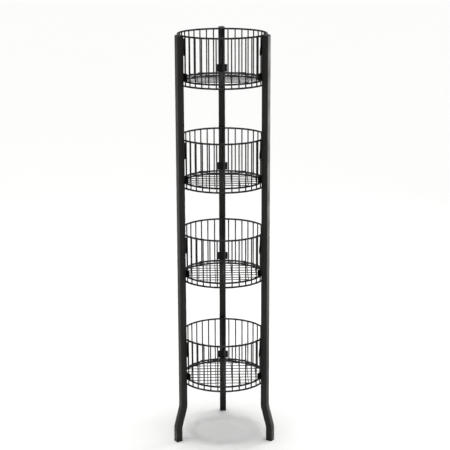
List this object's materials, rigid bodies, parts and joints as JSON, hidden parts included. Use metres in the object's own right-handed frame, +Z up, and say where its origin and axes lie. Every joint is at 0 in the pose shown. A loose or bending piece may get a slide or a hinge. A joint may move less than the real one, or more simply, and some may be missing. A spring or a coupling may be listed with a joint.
{
  "type": "rotating display rack",
  "caption": "Floor-standing shop display rack: round wire baskets one above another, hooked between square-tube posts that end in bent legs.",
  "frame": {"origin": "on the floor, in the middle of the rack's footprint", "axes": "+Z up; the two front posts are on the -Y side, the rear post on the +Y side; the baskets' axis is 25.85 mm towards -Y from the origin"},
  "size_m": [0.3966, 0.3937, 1.606],
  "materials": {
    "frame_powder_coated_steel": "satin black powder coat on steel tube",
    "basket_powder_coated_steel": "satin black powder coat on steel wire",
    "zinc_plated_steel": "zinc plated",
    "black_cap_plastic": "moulded, fine texture",
    "black_glide_plastic": "moulded, smooth"
  },
  "bodies": {
    "frame": {"rear_post": "frame_powder_coated_steel", "rear_leg": "frame_powder_coated_steel", "rear_leg_coupling": "zinc_plated_steel", "rear_post_cap": "black_cap_plastic", "rear_foot_glide": "black_glide_plastic", "front_left_post": "frame_powder_coated_steel", "front_left_leg": "frame_powder_coated_steel", "front_left_leg_coupling": "zinc_plated_steel", "front_left_post_cap": "black_cap_plastic", "front_left_foot_glide": "black_glide_plastic", "front_right_post": "frame_powder_coated_steel", "front_right_leg": "frame_powder_coated_steel", "front_right_leg_coupling": "zinc_plated_steel", "front_right_post_cap": "black_cap_plastic", "front_right_foot_glide": "black_glide_plastic"},
    "basket_1": {"basket_1_rim": "basket_powder_coated_steel", "basket_1_base_hoop": "basket_powder_coated_steel", "basket_1_floor_hoop": "basket_powder_coated_steel", "basket_1_side_wires": "basket_powder_coated_steel", "basket_1_floor_cross_wires": "basket_powder_coated_steel", "basket_1_floor_long_wires": "basket_powder_coated_steel", "basket_1_upper_hooks": "basket_powder_coated_steel", "basket_1_lower_hooks": "basket_powder_coated_steel", "basket_1_lower_straps": "basket_powder_coated_steel"},
    "basket_2": {"basket_2_rim": "basket_powder_coated_steel", "basket_2_base_hoop": "basket_powder_coated_steel", "basket_2_floor_hoop": "basket_powder_coated_steel", "basket_2_side_wires": "basket_powder_coated_steel", "basket_2_floor_cross_wires": "basket_powder_coated_steel", "basket_2_floor_long_wires": "basket_powder_coated_steel", "basket_2_upper_hooks": "basket_powder_coated_steel", "basket_2_lower_hooks": "basket_powder_coated_steel", "basket_2_lower_straps": "basket_powder_coated_steel"},
    "basket_3": {"basket_3_rim": "basket_powder_coated_steel", "basket_3_base_hoop": "basket_powder_coated_steel", "basket_3_floor_hoop": "basket_powder_coated_steel", "basket_3_side_wires": "basket_powder_coated_steel", "basket_3_floor_cross_wires": "basket_powder_coated_steel", "basket_3_floor_long_wires": "basket_powder_coated_steel", "basket_3_upper_hooks": "basket_powder_coated_steel", "basket_3_lower_hooks": "basket_powder_coated_steel", "basket_3_lower_straps": "basket_powder_coated_steel"},
    "basket_4": {"basket_4_rim": "basket_powder_coated_steel", "basket_4_base_hoop": "basket_powder_coated_steel", "basket_4_floor_hoop": "basket_powder_coated_steel", "basket_4_side_wires": "basket_powder_coated_steel", "basket_4_floor_cross_wires": "basket_powder_coated_steel", "basket_4_floor_long_wires": "basket_powder_coated_steel", "basket_4_upper_hooks": "basket_powder_coated_steel", "basket_4_lower_hooks": "basket_powder_coated_steel", "basket_4_lower_straps": "basket_powder_coated_steel"}
  },
  "joints": [
    {"name": "basket_1_lift", "type": "slide", "parent": "frame", "child": "basket_1", "axis": [0, 0, 1], "range_m": [0, 0.0085]},
    {"name": "basket_2_lift", "type": "slide", "parent": "frame", "child": "basket_2", "axis": [0, 0, 1], "range_m": [0, 0.0085]},
    {"name": "basket_3_lift", "type": "slide", "parent": "frame", "child": "basket_3", "axis": [0, 0, 1], "range_m": [0, 0.0085]},
    {"name": "basket_4_lift", "type": "slide", "parent": "frame", "child": "basket_4", "axis": [0, 0, 1], "range_m": [0, 0.0085]}
  ]
}
